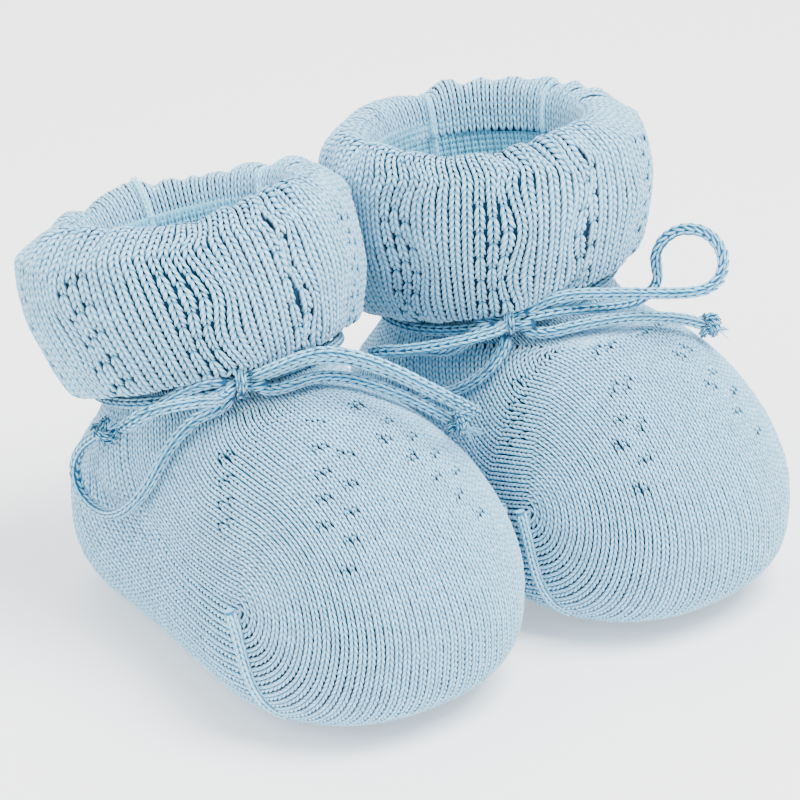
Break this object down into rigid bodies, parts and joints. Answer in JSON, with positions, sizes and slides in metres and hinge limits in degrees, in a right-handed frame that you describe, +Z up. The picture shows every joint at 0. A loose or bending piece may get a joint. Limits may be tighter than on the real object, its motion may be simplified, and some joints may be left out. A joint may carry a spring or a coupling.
{
  "type": "baby bootie",
  "caption": "Soft knitted baby booties side by side, each with a deep turned-down cuff and a knitted cord tied in a bow round the ankle.",
  "frame": {"origin": "on the floor under the middle of the pair, measured without the cords", "axes": "+Z up, toes towards -Y, +X from the right bootie towards the left one"},
  "size_m": [0.1259, 0.105, 0.085],
  "materials": {
    "knit": "matte cotton stocking-stitch knit",
    "cuff_knit": "matte cotton knit with lace columns",
    "seam_yarn": "matte cotton linking seam",
    "cord_yarn": "matte knitted cotton cord"
  },
  "bodies": {
    "right_bootie": {"right_foot_shell": "knit", "right_leg_tube": "knit", "right_turned_cuff": "cuff_knit", "right_toe_seam_outer": "seam_yarn", "right_toe_seam_inner": "seam_yarn", "right_ankle_cord": "cord_yarn", "right_bow_knot": "cord_yarn", "right_loop_outer": "cord_yarn", "right_loop_inner": "cord_yarn", "right_tail_outer": "cord_yarn", "right_tail_outer_knot": "cord_yarn", "right_tail_inner": "cord_yarn", "right_tail_inner_knot": "cord_yarn"},
    "left_bootie": {"left_foot_shell": "knit", "left_leg_tube": "knit", "left_turned_cuff": "cuff_knit", "left_toe_seam_outer": "seam_yarn", "left_toe_seam_inner": "seam_yarn", "left_ankle_cord": "cord_yarn", "left_bow_knot": "cord_yarn", "left_loop_outer": "cord_yarn", "left_loop_inner": "cord_yarn", "left_tail_outer": "cord_yarn", "left_tail_outer_knot": "cord_yarn", "left_tail_inner": "cord_yarn", "left_tail_inner_knot": "cord_yarn"}
  },
  "joints": [
    {"name": "pair_spread", "type": "slide", "parent": "right_bootie", "child": "left_bootie", "axis": [1, 0, 0], "range_m": [0, 0.1]}
  ]
}
